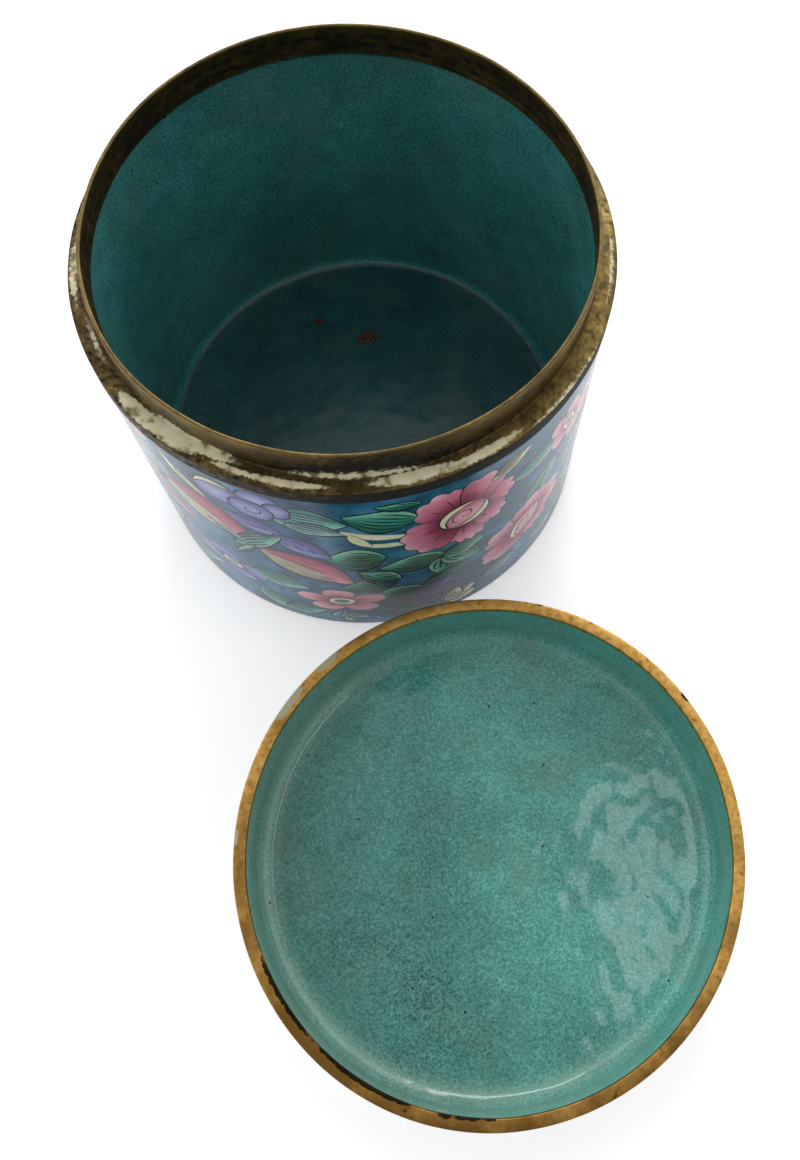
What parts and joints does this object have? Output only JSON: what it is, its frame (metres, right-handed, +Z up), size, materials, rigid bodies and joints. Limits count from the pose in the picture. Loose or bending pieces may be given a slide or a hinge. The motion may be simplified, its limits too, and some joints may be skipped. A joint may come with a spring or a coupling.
{
  "type": "lidded enamel jar",
  "caption": "Round copper jar enamelled inside and out, with a brass collar and neck, and its shallow enamelled lid lying rim up beside it.",
  "frame": {"origin": "on the surface the jar and lid stand on, midway between the jar's axis and the lid's axis", "axes": "+Y runs from the lid to the jar, +Z up along both axes, +X completes the right-handed frame"},
  "size_m": [0.11, 0.2246, 0.09],
  "materials": {
    "jar_enamel": "glossy vitreous enamel on copper, painted with flowers outside and plain turquoise inside",
    "collar_brass": "dulled and stained brass with crusty pale residue on the ledge",
    "lid_enamel": "glossy vitreous enamel on copper, speckled turquoise inside and painted outside",
    "ring_brass": "brushed brass, brown and chipped in places"
  },
  "bodies": {
    "root": {"jar_body": "jar_enamel", "jar_collar": "collar_brass", "lid_shell": "lid_enamel", "lid_ring": "ring_brass"}
  },
  "joints": []
}
